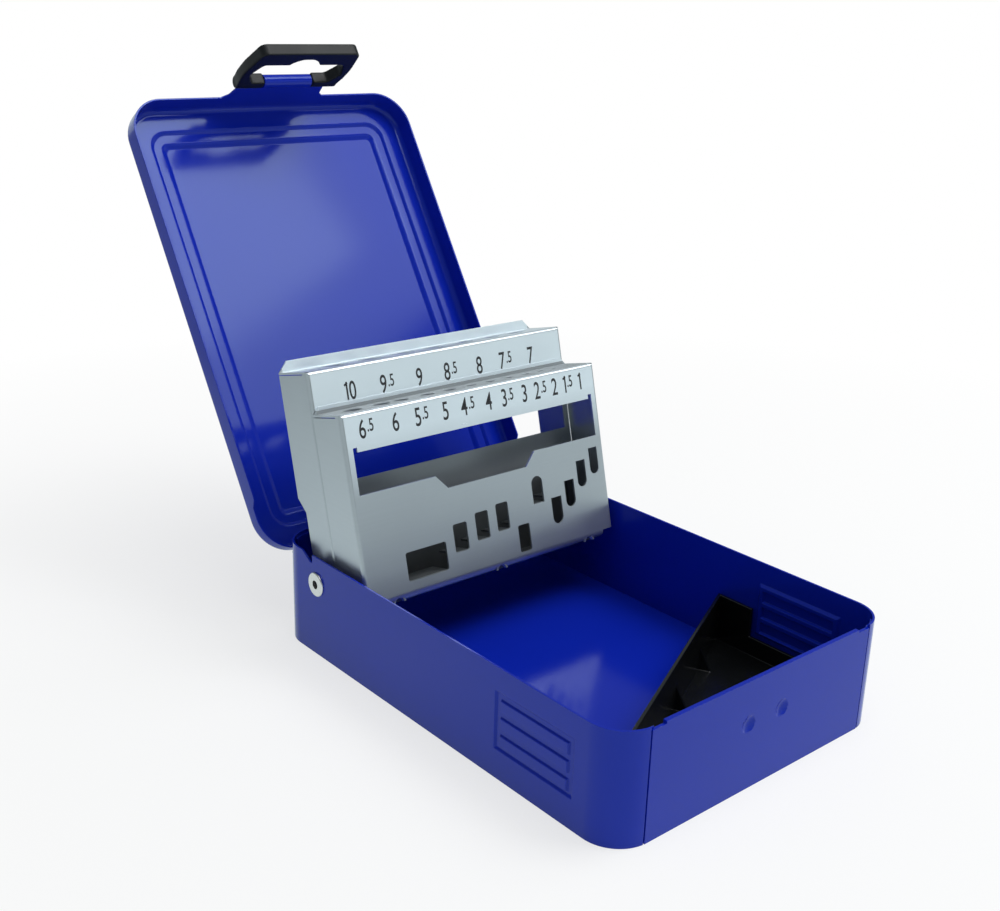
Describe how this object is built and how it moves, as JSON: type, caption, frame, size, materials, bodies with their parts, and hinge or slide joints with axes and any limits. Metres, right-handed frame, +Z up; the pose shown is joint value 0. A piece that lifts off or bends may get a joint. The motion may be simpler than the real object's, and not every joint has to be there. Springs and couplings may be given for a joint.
{
  "type": "drill bit index case",
  "caption": "Steel case with a hinged lid, a carry handle, two joined fold-down racks for graded twist drills and a corner parts tray.",
  "frame": {"origin": "middle of the underside of the case", "axes": "+X to the right seen from the front, +Y from the front wall to the hinges, +Z up"},
  "size_m": [0.1252, 0.274, 0.1998],
  "materials": {
    "blue_paint": "gloss",
    "zinc_sheet": "satin",
    "plated_steel": "satin",
    "black_plastic": "satin"
  },
  "bodies": {
    "base": {"base_pan": "blue_paint", "front_wall": "blue_paint", "rear_wall": "blue_paint", "parts_tray": "black_plastic", "left_pivot_rivet": "plated_steel", "right_pivot_rivet": "plated_steel", "left_spacer_washer": "plated_steel", "right_spacer_washer": "plated_steel", "left_hinge_base_leaf": "plated_steel", "right_hinge_base_leaf": "plated_steel", "left_hinge_pin": "plated_steel", "right_hinge_pin": "plated_steel"},
    "racks": {"front_rack": "zinc_sheet", "back_rack": "zinc_sheet"},
    "lid": {"lid_panel": "blue_paint", "left_hinge_lid_leaf": "plated_steel", "right_hinge_lid_leaf": "plated_steel"},
    "handle": {"carry_handle": "black_plastic"}
  },
  "joints": [
    {"name": "lid_hinge", "type": "hinge", "parent": "base", "child": "lid", "pos_m": [0, 0.08725, 0.029], "axis": [1, 0, 0], "range_deg": [0, 122.6]},
    {"name": "rack_fold", "type": "hinge", "parent": "base", "child": "racks", "pos_m": [0, 0.0607, 0.027], "axis": [1, 0, 0], "range_deg": [0, 104]},
    {"name": "handle_hinge", "type": "hinge", "parent": "lid", "child": "handle", "pos_m": [0, 0.17175, 0.18506], "axis": [-1, 0, 0], "range_deg": [-4, 110]}
  ],
  "couplings": [
    {"joint": "rack_fold", "follows": "lid_hinge", "ratio": 0.848}
  ]
}
